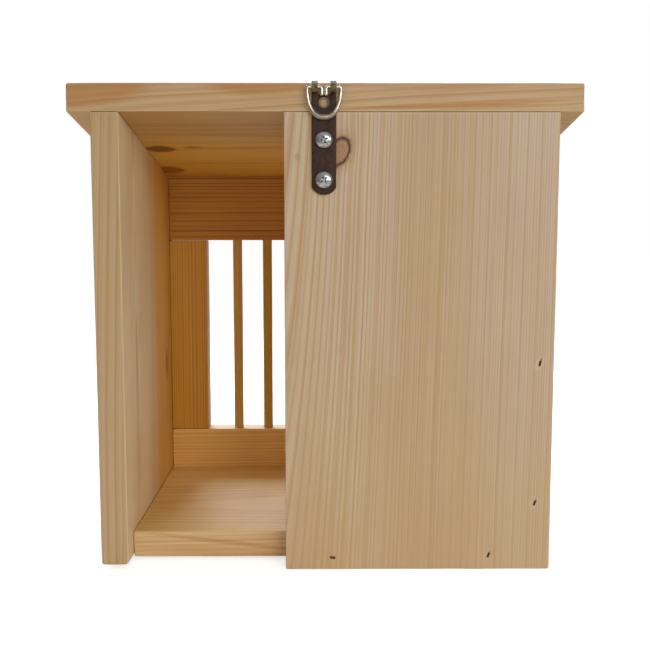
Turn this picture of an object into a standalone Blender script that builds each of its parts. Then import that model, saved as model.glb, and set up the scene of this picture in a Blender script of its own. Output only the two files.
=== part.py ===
"""A wooden birdhouse, modelled as the separate boards, dowels and fittings it is nailed up from.

Metres, +Z up. The barred window is the front and faces -Y. The back, half closed by an upright panel that
carries the strap hanger, faces +Y. Left and right are as seen from the front, so right is +X. The origin is
under the middle of the bounding box, on the surface the house stands on.
"""

import math

import bmesh
import bpy
from mathutils import Matrix, Vector

# Clearances and edges
GAP = 0.0003
EASE = 0.0008
EASE_STEPS = 2

# Boards of the body
BOARD = 0.018
BODY_WIDTH = 0.302
BODY_DEPTH = 0.210
BACK_HEIGHT = 0.300
PITCH = math.radians(9.0)
PANEL_WIDTH = 0.1778
STAND_OFF = 0.0032
FLOOR_DROP = 0.0008

# Roof
ROOF_SIDE_OVERHANG = 0.015
ROOF_DEPTH = 0.247

# Front wall with its barred window
RAIL_HEIGHT = 0.054
WINDOW_TOP = 0.2188
STILE_RIGHT = 0.032
STILE_LEFT = 0.027
DOWEL_COUNT = 7
DOWEL_RADIUS = 0.004
DOWEL_SOCKET = 0.010
DOWEL_CHAMFER = 0.0005
DOWEL_SIDES = 24

# Brads: flat T-shaped nails, driven just below the surface
BRAD_LENGTH = 0.035
BRAD_THICKNESS = 0.0011
BRAD_SHANK = 0.0013
BRAD_HEAD_WIDTH = 0.0030
BRAD_HEAD_HEIGHT = 0.0012
BRAD_SHOULDER = 0.0007
BRAD_POINT = 0.0020
BRAD_SINK = 0.0006

# Strap hanger with its swinging ring
HANGER_X = 0.0010
HINGE_Z = 0.3185
STRAP_WIDTH = 0.0158
STRAP_THICKNESS = 0.0014
STRAP_BOTTOM = 0.2506
STRAP_END_RISE = 0.0049
SLOT_WIDTH = 0.0080
SLOT_DEPTH = 0.0045
KNUCKLE_RADIUS = 0.0037
KNUCKLE_WRAP = math.radians(255.0)
KNUCKLE_STEPS = 18
KNUCKLE_TAIL = 0.0032
KNUCKLE_INSET = 0.00005
OPEN_HOLE_Z = 0.3089
OPEN_HOLE_RADIUS = 0.0023
OPEN_HOLE_SINK_RADIUS = 0.0036
SCREW_HEIGHTS = {"hanger_screw_upper": 0.2855, "hanger_screw_lower": 0.2601}
SCREW_TURNS = {"hanger_screw_upper": math.radians(18.0), "hanger_screw_lower": math.radians(38.0)}
SCREW_HEAD_RADIUS = 0.0056
SCREW_HEAD_HEIGHT = 0.0032
SCREW_HEAD_RIM = 0.0008
SCREW_RADIUS = 0.0019
SCREW_LENGTH = 0.0155
SCREW_POINT = 0.0040
RECESS_LENGTH = 0.0056
RECESS_WIDTH = 0.0012
RECESS_DEPTH = 0.0020
WIRE_RADIUS = 0.0012
RING_HALF_WIDTH = 0.0108
RING_DROP = 0.0190
RING_SWELL = 0.65
RING_SQUARENESS = 2.3
RING_SHOULDER = 0.0016
STUB_HALF_SPACING = 0.0014
STUB_DROP = 0.0055
ROUND_SIDES = 24

# Places that follow from the sizes above
HALF_WIDTH = BODY_WIDTH / 2
INNER_HALF = HALF_WIDTH - BOARD
HANGER_PROUD = GAP + 2 * KNUCKLE_RADIUS - KNUCKLE_INSET
BACK_Y = (ROOF_DEPTH - HANGER_PROUD) / 2
FRONT_Y = BACK_Y - BODY_DEPTH
FRONT_WALL_Y = FRONT_Y + BOARD
ROOF_RISE = BOARD / math.cos(PITCH)
EAVES_Z = STAND_OFF + BACK_HEIGHT
STRAP_BACK_Y = BACK_Y + GAP
STRAP_FRONT_Y = STRAP_BACK_Y + STRAP_THICKNESS
HINGE_Y = STRAP_BACK_Y + KNUCKLE_RADIUS
WINDOW_RIGHT = INNER_HALF - STILE_RIGHT
WINDOW_LEFT = -INNER_HALF + STILE_LEFT
DOWEL_PITCH = (WINDOW_RIGHT - WINDOW_LEFT) / (DOWEL_COUNT + 1)

# Brads seen in the panel: place across and up, and how far the head leans from level
PANEL_BRADS = [
    (-0.0048, 0.0083, 8.0),
    (-0.1098, 0.0098, 112.0),
    (-0.1402, 0.0458, 110.0),
    (-0.1416, 0.1404, 103.0),
]
ROOF_BRAD_DEPTHS = [0.030, 0.105, 0.180]
FLOOR_BRAD_DEPTHS = [0.060, 0.150]

COLOURS = {
    "roof_board": (0.50, 0.34, 0.17),
    "side_board_right": (0.46, 0.34, 0.19),
    "side_board_left": (0.47, 0.34, 0.18),
    "floor_board": (0.49, 0.31, 0.15),
    "back_panel": (0.48, 0.34, 0.20),
    "front_top_rail": (0.40, 0.24, 0.09),
    "front_bottom_rail": (0.46, 0.29, 0.13),
    "front_stile_right": (0.44, 0.28, 0.11),
    "front_stile_left": (0.45, 0.29, 0.12),
    "window_dowel": (0.42, 0.26, 0.11),
    "hanger_strap": (0.035, 0.024, 0.018),
    "hanger_ring": (0.62, 0.58, 0.50),
    "hanger_screw": (0.60, 0.60, 0.60),
    "brad": (0.20, 0.17, 0.14),
}
WOOD_ROUGHNESS = 0.6
METAL_ROUGHNESS = 0.35


def clear_scene():
    """Removes what the scene holds, so that only the birdhouse is in it."""
    for old in list(bpy.data.objects):
        bpy.data.objects.remove(old, do_unlink=True)


def new_collection(name):
    """A collection linked to the scene."""
    group = bpy.data.collections.new(name)
    bpy.context.scene.collection.children.link(group)
    return group


def new_material(name, colour_name, metallic=0.0, roughness=WOOD_ROUGHNESS):
    """A Principled material in one of the listed colours."""
    material = bpy.data.materials.new(name)
    material.use_nodes = True
    shader = material.node_tree.nodes["Principled BSDF"]
    shader.inputs["Base Color"].default_value = (*COLOURS[colour_name], 1.0)
    shader.inputs["Roughness"].default_value = roughness
    shader.inputs["Metallic"].default_value = metallic
    return material


def add_part(item, material):
    """Links a finished sub-part to the birdhouse and gives it its material."""
    HOUSE.objects.link(item)
    item.data.materials.clear()
    item.data.materials.append(material)
    return item


def add_cutter(item):
    """Links a shape that only cuts others, out of sight."""
    CUTTERS.objects.link(item)
    item.hide_render = True
    item.display_type = "WIRE"
    return item


def box(name, low, high):
    """A cuboid between two corners, with its origin in its middle."""
    form = bmesh.new()
    bmesh.ops.create_cube(form, size=1.0)
    size = Vector(high) - Vector(low)
    bmesh.ops.scale(form, vec=size, verts=form.verts)
    mesh = bpy.data.meshes.new(name)
    form.to_mesh(mesh)
    form.free()
    item = bpy.data.objects.new(name, mesh)
    item.location = (Vector(low) + Vector(high)) / 2
    return item


def follow_roof(item, top_only=True):
    """Shears a box so that its top, or all of it, falls towards the front like the roof."""
    for vertex in item.data.vertices:
        if top_only and vertex.co.z < 0:
            continue
        depth = BACK_Y - (item.location.y + vertex.co.y)
        vertex.co.z -= depth * math.tan(PITCH)


def ease_edges(item):
    """Rounds the edges of a board a little."""
    bevel = item.modifiers.new("eased_edges", "BEVEL")
    bevel.width = EASE
    bevel.segments = EASE_STEPS
    bevel.limit_method = "ANGLE"


def board(name, low, high, slopes=None):
    """A board between two corners. slopes is None, "top" or "all" for one that follows the roof."""
    item = box(name, low, high)
    if slopes:
        follow_roof(item, top_only=slopes == "top")
    ease_edges(item)
    return add_part(item, new_material(name, name))


def cut(item, cutter):
    """Cuts one shape out of a part."""
    boolean = item.modifiers.new("cut_" + cutter.name, "BOOLEAN")
    boolean.operation = "DIFFERENCE"
    boolean.solver = "EXACT"
    boolean.object = cutter


def join(item, other):
    """Welds another shape onto a part."""
    boolean = item.modifiers.new("join_" + other.name, "BOOLEAN")
    boolean.operation = "UNION"
    boolean.solver = "EXACT"
    boolean.object = other


def outline(name, points, thickness, matrix):
    """A flat outline in its own XY plane, thickened evenly to both sides and then placed."""
    curve = bpy.data.curves.new(name, "CURVE")
    curve.dimensions = "2D"
    curve.fill_mode = "BOTH"
    curve.extrude = thickness / 2
    spline = curve.splines.new("POLY")
    spline.points.add(len(points) - 1)
    for place, (x, y) in zip(spline.points, points):
        place.co = (x, y, 0.0, 1.0)
    spline.use_cyclic_u = True
    item = bpy.data.objects.new(name, curve)
    item.matrix_world = matrix
    return item


def as_mesh(item):
    """The closed mesh object that a curve object stands for; the curve is removed."""
    bpy.context.scene.collection.objects.link(item)
    bpy.context.view_layer.update()
    evaluated = item.evaluated_get(bpy.context.evaluated_depsgraph_get())
    mesh = bpy.data.meshes.new_from_object(evaluated)
    form = bmesh.new()
    form.from_mesh(mesh)
    bmesh.ops.remove_doubles(form, verts=form.verts, dist=0.00001)
    bmesh.ops.recalc_face_normals(form, faces=form.faces)
    form.to_mesh(mesh)
    form.free()
    name = item.name
    place = item.matrix_world.copy()
    bpy.data.objects.remove(item, do_unlink=True)
    solid = bpy.data.objects.new(name, mesh)
    solid.matrix_world = place
    return solid


def rod(name, radius, length, sides, matrix):
    """A plain round rod along its own Z, with its middle at the origin."""
    form = bmesh.new()
    bmesh.ops.create_cone(
        form, cap_ends=True, segments=sides, radius1=radius, radius2=radius, depth=length
    )
    mesh = bpy.data.meshes.new(name)
    form.to_mesh(mesh)
    form.free()
    item = bpy.data.objects.new(name, mesh)
    item.matrix_world = matrix
    return item


def turned(name, profile, matrix):
    """A turned solid: (radius, height) points from the top of the axis down its outside."""
    mesh = bpy.data.meshes.new(name)
    edges = [(i, i + 1) for i in range(len(profile) - 1)]
    mesh.from_pydata([(radius, 0.0, height) for radius, height in profile], edges, [])
    item = bpy.data.objects.new(name, mesh)
    item.matrix_world = matrix
    turn = item.modifiers.new("turned", "SCREW")
    turn.axis = "Z"
    turn.steps = ROUND_SIDES
    turn.render_steps = ROUND_SIDES
    turn.use_merge_vertices = True
    turn.merge_threshold = 0.00001
    turn.use_smooth_shade = True
    return item


def smooth(item, angle=math.radians(40.0)):
    """Shades the round faces of a mesh smooth and leaves its corners sharp."""
    item.data.shade_smooth()
    item.data.set_sharp_from_angle(angle=angle)


def add_body_boards():
    """Two sides, the floor and the panel that closes part of the back. Returns them by name."""
    parts = {}
    panel_front_y = BACK_Y - BOARD
    roof_reach = BACK_HEIGHT + STAND_OFF
    parts["side_board_right"] = board(
        "side_board_right",
        (INNER_HALF, FRONT_Y, STAND_OFF),
        (HALF_WIDTH, BACK_Y, roof_reach),
        slopes="top",
    )
    parts["side_board_left"] = board(
        "side_board_left",
        (-HALF_WIDTH, FRONT_Y, STAND_OFF),
        (-INNER_HALF, panel_front_y - GAP, roof_reach),
        slopes="top",
    )
    floor_z = STAND_OFF - FLOOR_DROP
    parts["floor_board"] = board(
        "floor_board",
        (-INNER_HALF + GAP, FRONT_WALL_Y + GAP, floor_z),
        (INNER_HALF - GAP, panel_front_y - GAP, floor_z + BOARD),
    )
    parts["back_panel"] = board(
        "back_panel",
        (-HALF_WIDTH, panel_front_y, 0.0),
        (PANEL_WIDTH - HALF_WIDTH, BACK_Y, roof_reach),
        slopes="top",
    )
    return parts


def add_roof():
    """One board that falls to the front, cut plumb at both ends and flush with the back."""
    side = HALF_WIDTH + ROOF_SIDE_OVERHANG
    low = (-side, BACK_Y - ROOF_DEPTH, EAVES_Z + GAP)
    high = (side, BACK_Y, EAVES_Z + GAP + ROOF_RISE)
    return board("roof_board", low, high, slopes="all")


def add_front_wall():
    """Two rails and two stiles between the sides, framing the window. Returns them by name."""
    parts = {}
    half = INNER_HALF - GAP
    parts["front_bottom_rail"] = board(
        "front_bottom_rail", (-half, FRONT_Y, 0.0), (half, FRONT_WALL_Y, RAIL_HEIGHT)
    )
    parts["front_top_rail"] = board(
        "front_top_rail",
        (-half, FRONT_Y, WINDOW_TOP),
        (half, FRONT_WALL_Y, STAND_OFF + BACK_HEIGHT),
        slopes="top",
    )
    stile_low = RAIL_HEIGHT + GAP
    stile_high = WINDOW_TOP - GAP
    parts["front_stile_right"] = board(
        "front_stile_right", (WINDOW_RIGHT, FRONT_Y, stile_low), (half, FRONT_WALL_Y, stile_high)
    )
    parts["front_stile_left"] = board(
        "front_stile_left", (-half, FRONT_Y, stile_low), (WINDOW_LEFT, FRONT_WALL_Y, stile_high)
    )
    return parts


def add_window_dowels(top_rail, bottom_rail):
    """Round bars in blind sockets at the middle of the rails' thickness."""
    middle_y = (FRONT_Y + FRONT_WALL_Y) / 2
    low = RAIL_HEIGHT - DOWEL_SOCKET
    high = WINDOW_TOP + DOWEL_SOCKET
    socket_depth = DOWEL_SOCKET + GAP
    for number in range(1, DOWEL_COUNT + 1):
        x = WINDOW_RIGHT - number * DOWEL_PITCH
        name = f"window_dowel_{number}"
        place = Matrix.Translation((x, middle_y, (low + high) / 2))
        dowel = rod(name, DOWEL_RADIUS, high - low, DOWEL_SIDES, place)
        bevel = dowel.modifiers.new("chamfer", "BEVEL")
        bevel.width = DOWEL_CHAMFER
        bevel.segments = 1
        bevel.limit_method = "ANGLE"
        bevel.angle_limit = math.radians(60.0)
        smooth(dowel)
        add_part(dowel, new_material(name, "window_dowel"))
        for rail, inner_z, sign in ((bottom_rail, RAIL_HEIGHT, -1), (top_rail, WINDOW_TOP, 1)):
            # The socket cutter reaches as far outside the rail as the socket goes in.
            middle = Matrix.Translation((x, middle_y, inner_z))
            socket = rod(
                f"socket_{number}_{sign}", DOWEL_RADIUS + GAP, 2 * socket_depth, DOWEL_SIDES, middle
            )
            cut(rail, add_cutter(socket))


def brad_frame(point, drive, wide):
    """Where a brad goes: its Y runs against the drive direction, its X along the head."""
    up = -Vector(drive).normalized()
    across = Vector(wide).normalized()
    normal = across.cross(up)
    frame = Matrix((across, up, normal)).transposed().to_4x4()
    return Matrix.Translation(point) @ frame


def add_brad(name, point, drive, wide, boards):
    """A T-headed brad sunk into a surface at point, and its pocket in the boards it holds."""
    frame = brad_frame(point, drive, wide)
    head = BRAD_HEAD_WIDTH / 2
    shank = BRAD_SHANK / 2
    top = -BRAD_SINK
    neck = top - BRAD_HEAD_HEIGHT
    tip = top - BRAD_LENGTH
    taper = shank / 3
    half_outline = [
        (head, top),
        (head, neck),
        (shank, neck - BRAD_SHOULDER),
        (shank, tip + BRAD_POINT),
        (taper, tip),
    ]
    points = half_outline + [(-x, y) for x, y in reversed(half_outline)]
    brad = outline(name, points, BRAD_THICKNESS, frame)
    add_part(brad, BRAD_MATERIAL)
    half_pocket = [
        (head + GAP, BRAD_SINK),
        (head + GAP, neck - GAP),
        (shank + GAP, neck - GAP - BRAD_SHOULDER),
        (shank + GAP, tip - GAP),
    ]
    pocket_points = half_pocket + [(-x, y) for x, y in reversed(half_pocket)]
    pocket = outline(name + "_pocket", pocket_points, BRAD_THICKNESS + 2 * GAP, frame)
    pocket = add_cutter(as_mesh(pocket))
    for item in boards:
        cut(item, pocket)


def add_brads(parts):
    """Every brad, and the pair of boards that it goes through."""
    panel = parts["back_panel"]
    floor = parts["floor_board"]
    left = parts["side_board_left"]
    for number, (x, z, lean) in enumerate(PANEL_BRADS, start=1):
        angle = math.radians(lean)
        into = left if x < -INNER_HALF else floor
        wide = (math.cos(angle), 0.0, math.sin(angle))
        add_brad(f"panel_brad_{number}", (x, BACK_Y, z), (0, -1, 0), wide, (panel, into))

    roof_normal = Vector((0.0, -math.sin(PITCH), math.cos(PITCH)))
    roof_top_z = EAVES_Z + GAP + ROOF_RISE
    for side, sign in (("right", 1), ("left", -1)):
        side_board = parts[f"side_board_{side}"]
        middle_x = sign * (HALF_WIDTH - BOARD / 2)
        for number, depth in enumerate(ROOF_BRAD_DEPTHS, start=1):
            point = (middle_x, BACK_Y - depth, roof_top_z - depth * math.tan(PITCH))
            name = f"roof_brad_{side}_{number}"
            add_brad(name, point, -roof_normal, (0, 1, math.tan(PITCH)), (parts["roof_board"], side_board))
        floor_z = STAND_OFF - FLOOR_DROP + BOARD / 2
        for number, depth in enumerate(FLOOR_BRAD_DEPTHS, start=1):
            point = (sign * HALF_WIDTH, BACK_Y - depth, floor_z)
            add_brad(f"floor_brad_{side}_{number}", point, (-sign, 0, 0), (0, 0, 1), (side_board, floor))
        front_middle_y = FRONT_Y + BOARD / 2
        rails = {"bottom": RAIL_HEIGHT / 2, "top": WINDOW_TOP + RAIL_HEIGHT / 2}
        for level, z in rails.items():
            point = (sign * HALF_WIDTH, front_middle_y, z)
            rail = parts[f"front_{level}_rail"]
            add_brad(f"rail_brad_{side}_{level}", point, (-sign, 0, 0), (0, 0, 1), (side_board, rail))


def strap_points():
    """Outline of the strap seen from the back: two tabs on top, a shallow round end below."""
    half = STRAP_WIDTH / 2
    slot = SLOT_WIDTH / 2
    tab_top = HINGE_Z - 0.0005
    slot_bottom = HINGE_Z - SLOT_DEPTH
    radius = (half**2 + STRAP_END_RISE**2) / (2 * STRAP_END_RISE)
    centre_z = STRAP_BOTTOM + radius
    reach = math.asin(half / radius)
    steps = 10
    end = []
    for step in range(steps + 1):
        angle = -reach + 2 * reach * step / steps
        end.append((radius * math.sin(angle), centre_z - radius * math.cos(angle)))
    tabs = [
        (half, tab_top),
        (slot, tab_top),
        (slot, slot_bottom),
        (-slot, slot_bottom),
        (-slot, tab_top),
        (-half, tab_top),
    ]
    return end + tabs


def knuckle_points():
    """Profile of one knuckle, seen along the hinge: the tab runs up, over the wire and down the front."""
    outer = KNUCKLE_RADIUS - KNUCKLE_INSET
    inner = KNUCKLE_RADIUS - STRAP_THICKNESS + KNUCKLE_INSET
    angles = [math.pi - KNUCKLE_WRAP * step / KNUCKLE_STEPS for step in range(KNUCKLE_STEPS + 1)]
    outside = [(outer * math.cos(a), outer * math.sin(a)) for a in angles]
    inside = [(inner * math.cos(a), inner * math.sin(a)) for a in reversed(angles)]
    tail = [(-inner, -KNUCKLE_TAIL), (-outer, -KNUCKLE_TAIL)]
    return outside + inside + tail


def facing_back(x, y, z):
    """A place whose own Z points out of the back of the house, along +Y."""
    return Matrix.Translation((x, y, z)) @ Matrix.Rotation(-math.pi / 2, 4, "X")


def add_strap():
    """The strap: a plate with three holes whose two tabs curl over the ring's wire."""
    # Across is X, up is Z, and the thickness runs along Y.
    upright = Matrix.Rotation(math.pi / 2, 4, "X")
    middle_y = (STRAP_BACK_Y + STRAP_FRONT_Y) / 2
    place = Matrix.Translation((HANGER_X, middle_y, 0.0)) @ upright
    strap = as_mesh(outline("hanger_strap", strap_points(), STRAP_THICKNESS, place))
    material = new_material("hanger_strap", "hanger_strap", metallic=0.8, roughness=0.4)
    add_part(strap, material)
    tab = (STRAP_WIDTH - SLOT_WIDTH) / 2
    along_x = Matrix(((0, 0, 1), (1, 0, 0), (0, 1, 0))).to_4x4()
    for side, sign in (("right", 1), ("left", -1)):
        x = HANGER_X + sign * (SLOT_WIDTH + tab) / 2
        place = Matrix.Translation((x, HINGE_Y, HINGE_Z)) @ along_x
        width = tab - 2 * KNUCKLE_INSET
        knuckle = as_mesh(outline(f"knuckle_{side}", knuckle_points(), width, place))
        join(strap, add_cutter(knuckle))
    reach = 4 * STRAP_THICKNESS
    for name, z in SCREW_HEIGHTS.items():
        place = facing_back(HANGER_X, middle_y, z)
        hole = rod(name + "_hole", SCREW_RADIUS + GAP, reach, ROUND_SIDES, place)
        cut(strap, add_cutter(hole))
    slope = (OPEN_HOLE_SINK_RADIUS - OPEN_HOLE_RADIUS) / STRAP_THICKNESS
    wide_radius = OPEN_HOLE_SINK_RADIUS + slope * STRAP_THICKNESS
    sink = turned(
        "open_hole",
        [
            (0.0, STRAP_THICKNESS),
            (wide_radius, STRAP_THICKNESS),
            (OPEN_HOLE_RADIUS, -STRAP_THICKNESS),
            (OPEN_HOLE_RADIUS, -2 * STRAP_THICKNESS),
            (0.0, -2 * STRAP_THICKNESS),
        ],
        facing_back(HANGER_X, STRAP_FRONT_Y, OPEN_HOLE_Z),
    )
    cut(strap, add_cutter(sink))
    return strap


def screw_profile():
    """A pan-head screw from the crown of its head down to its point."""
    points = []
    steps = 6
    crown = SCREW_HEAD_HEIGHT - SCREW_HEAD_RIM
    for step in range(steps + 1):
        angle = math.pi / 2 * step / steps
        points.append((SCREW_HEAD_RADIUS * math.sin(angle), SCREW_HEAD_RIM + crown * math.cos(angle)))
    points += [
        (SCREW_HEAD_RADIUS * 0.96, 0.0),
        (SCREW_RADIUS, 0.0),
        (SCREW_RADIUS, SCREW_POINT - SCREW_LENGTH),
        (0.0, -SCREW_LENGTH),
    ]
    points[0] = (0.0, SCREW_HEAD_HEIGHT)
    return points


def add_screws(panel):
    """The two pan-head screws that hold the strap, with a cross recess and a pilot hole each."""
    seat_y = STRAP_FRONT_Y + GAP
    material = new_material("hanger_screws", "hanger_screw", metallic=1.0, roughness=METAL_ROUGHNESS)
    for name, z in SCREW_HEIGHTS.items():
        place = facing_back(HANGER_X, seat_y, z)
        screw = turned(name, screw_profile(), place)
        add_part(screw, material)
        for arm in range(2):
            corner = Vector((RECESS_LENGTH / 2, RECESS_WIDTH / 2, RECESS_DEPTH))
            slot = box(f"{name}_recess_{arm}", -corner, corner)
            turn = Matrix.Rotation(SCREW_TURNS[name] + arm * math.pi / 2, 4, "Z")
            slot.matrix_world = place @ Matrix.Translation((0, 0, SCREW_HEAD_HEIGHT)) @ turn
            cut(screw, add_cutter(slot))
        depth = SCREW_LENGTH - STRAP_THICKNESS - GAP
        pilot = rod(
            name + "_pilot",
            SCREW_RADIUS + GAP,
            2 * depth,
            ROUND_SIDES,
            facing_back(HANGER_X, BACK_Y, z),
        )
        cut(panel, add_cutter(pilot))


def ring_points():
    """Half of the ring's wire, from the bottom of the loop round to the end of its stub.

    Across is x and up is y, from the middle of the hinge, and the third number is how thick the wire is there.
    The loop is half a squarish oval that swells towards its bottom; at the hinge the wire turns inwards through
    the knuckle, and its end turns down beside the other end.
    """
    points = []
    loop_steps = 13
    last = 0.90
    for step in range(loop_steps + 1):
        angle = -math.pi / 2 * (1 - last * step / loop_steps)
        x = RING_HALF_WIDTH * math.cos(angle) ** (2 / RING_SQUARENESS)
        y = -RING_DROP * (-math.sin(angle)) ** (2 / RING_SQUARENESS)
        points.append((x, y, 1.0 + RING_SWELL * math.sin(angle) ** 4))
    shoulder = RING_HALF_WIDTH - RING_SHOULDER
    for step in range(1, 5):
        angle = math.pi / 2 * step / 4
        x = shoulder + RING_SHOULDER * math.cos(angle)
        y = -RING_SHOULDER + RING_SHOULDER * math.sin(angle)
        points.append((x, y, 1.0))
    bend = SLOT_WIDTH / 2
    for step in range(5):
        angle = math.pi / 2 * step / 4
        x = bend - (bend - STUB_HALF_SPACING) * math.sin(angle)
        y = -(bend - STUB_HALF_SPACING) * (1 - math.cos(angle))
        points.append((x, y, 1.0))
    points.append((STUB_HALF_SPACING, -STUB_DROP, 1.0))
    return points


def add_ring():
    """The wire ring, hanging down from a hinge that is its parent's place."""
    hinge = bpy.data.objects.new("ring_hinge", None)
    hinge.location = (HANGER_X, HINGE_Y, HINGE_Z)
    hinge.empty_display_size = 0.01
    HOUSE.objects.link(hinge)
    half = ring_points()
    whole = [(-x, y, thick) for x, y, thick in reversed(half[1:])] + half
    curve = bpy.data.curves.new("hanger_ring", "CURVE")
    curve.dimensions = "3D"
    curve.bevel_depth = WIRE_RADIUS
    curve.bevel_resolution = 2
    curve.use_fill_caps = True
    spline = curve.splines.new("POLY")
    spline.points.add(len(whole) - 1)
    for place, (x, y, thick) in zip(spline.points, whole):
        place.co = (x, 0.0, y, 1.0)
        place.radius = thick
    ring = bpy.data.objects.new("hanger_ring", curve)
    ring.parent = hinge
    add_part(ring, new_material("hanger_ring", "hanger_ring", metallic=1.0, roughness=METAL_ROUGHNESS))


clear_scene()
HOUSE = new_collection("birdhouse")
CUTTERS = new_collection("birdhouse_cutters")
BRAD_MATERIAL = new_material("brads", "brad", metallic=0.8, roughness=METAL_ROUGHNESS)

all_parts = add_body_boards()
all_parts["roof_board"] = add_roof()
all_parts.update(add_front_wall())
add_window_dowels(all_parts["front_top_rail"], all_parts["front_bottom_rail"])
add_brads(all_parts)
add_strap()
add_screws(all_parts["back_panel"])
add_ring()
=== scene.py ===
"""Looks of the birdhouse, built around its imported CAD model.

The boards are rebuilt at the CAD boards' size with worn edges, and the hanger, its ring, the screws and the
dowels are remade finer. Every surface gets a procedural material. Lengths are metres, and millimetres inside
the materials.
"""

import math

import bmesh
import bpy
from mathutils import Matrix, Vector, noise


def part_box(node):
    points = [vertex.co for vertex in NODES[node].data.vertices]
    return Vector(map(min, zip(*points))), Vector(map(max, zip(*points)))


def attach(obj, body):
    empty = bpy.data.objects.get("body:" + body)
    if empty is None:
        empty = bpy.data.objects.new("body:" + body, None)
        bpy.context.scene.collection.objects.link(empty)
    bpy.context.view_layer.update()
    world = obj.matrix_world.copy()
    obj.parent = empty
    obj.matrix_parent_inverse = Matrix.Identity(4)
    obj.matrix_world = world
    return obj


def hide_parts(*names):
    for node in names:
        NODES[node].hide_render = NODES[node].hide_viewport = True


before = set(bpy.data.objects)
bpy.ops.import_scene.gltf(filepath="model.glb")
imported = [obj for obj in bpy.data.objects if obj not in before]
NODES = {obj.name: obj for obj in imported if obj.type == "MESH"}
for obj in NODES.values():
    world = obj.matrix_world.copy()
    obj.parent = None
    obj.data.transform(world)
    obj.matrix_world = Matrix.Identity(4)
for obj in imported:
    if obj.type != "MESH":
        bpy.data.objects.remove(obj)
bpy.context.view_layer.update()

MM = 0.001
PITCH = math.radians(9.0)
EASE = 0.0008
WELD = 0.000002
BOARD_CELL = 0.007
JOINT_CLOSING = 0.0002
NAIL_ROOM = 0.002
NAIL_HOLE_SPREAD = 0.00045
NAIL_HOLE_RISE = 0.0016
DOWEL_HOLE_HALF_DEPTH = 0.0125
HOLE_ROOM = 0.0003
KNUCKLE_TRIM = 0.00004
FLOOR_DROP = 0.0001

# Camera, as fitted to the house's straight edges: behind the house, a little above its middle
CAMERA_PLACE = Vector((0.00397, 0.71649, 0.22977))
CAMERA_FORWARD = Vector((-0.00603, -0.99433, -0.10617))
CAMERA_RIGHT = Vector((-0.99998, 0.00607, -0.00006))
CAMERA_LENS = 50.66
SENSOR = 36.0

# Hanger
BACK_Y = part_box("back_panel")[1].y
STRAP_LOW, STRAP_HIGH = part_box("hanger_strap")
STRAP_THICKNESS = 0.0014
STRAP_BACK_Y = STRAP_LOW.y
STRAP_FRONT_Y = STRAP_BACK_Y + STRAP_THICKNESS
KNUCKLE_RADIUS = (STRAP_HIGH.y - STRAP_BACK_Y) / 2
HANGER_X = (STRAP_LOW.x + STRAP_HIGH.x) / 2
HINGE = Vector((HANGER_X, STRAP_BACK_Y + KNUCKLE_RADIUS, STRAP_HIGH.z - KNUCKLE_RADIUS))


# ---------------------------------------------------------------- materials


def tone(red, green, blue):
    """A colour given as it looks on a screen, 0 to 255, as linear light."""
    parts = [part / 255 for part in (red, green, blue)]
    linear = [p / 12.92 if p <= 0.04045 else ((p + 0.055) / 1.055) ** 2.4 for p in parts]
    return (*linear, 1.0)


def arithmetic(operation, swapped=False):
    """A method for one of Value's operators. Swapped is for a plain number on the operator's left."""
    if swapped:
        return lambda value, other: value.graph.math(operation, other, value)
    return lambda value, other: value.graph.math(operation, value, other)


class Value:
    """One number in a material, which can be used in plain arithmetic."""

    def __init__(self, graph, socket):
        self.graph = graph
        self.socket = socket

    __add__ = arithmetic("ADD")
    __radd__ = arithmetic("ADD", swapped=True)
    __sub__ = arithmetic("SUBTRACT")
    __rsub__ = arithmetic("SUBTRACT", swapped=True)
    __mul__ = arithmetic("MULTIPLY")
    __rmul__ = arithmetic("MULTIPLY", swapped=True)
    __truediv__ = arithmetic("DIVIDE")
    __pow__ = arithmetic("POWER")


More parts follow.
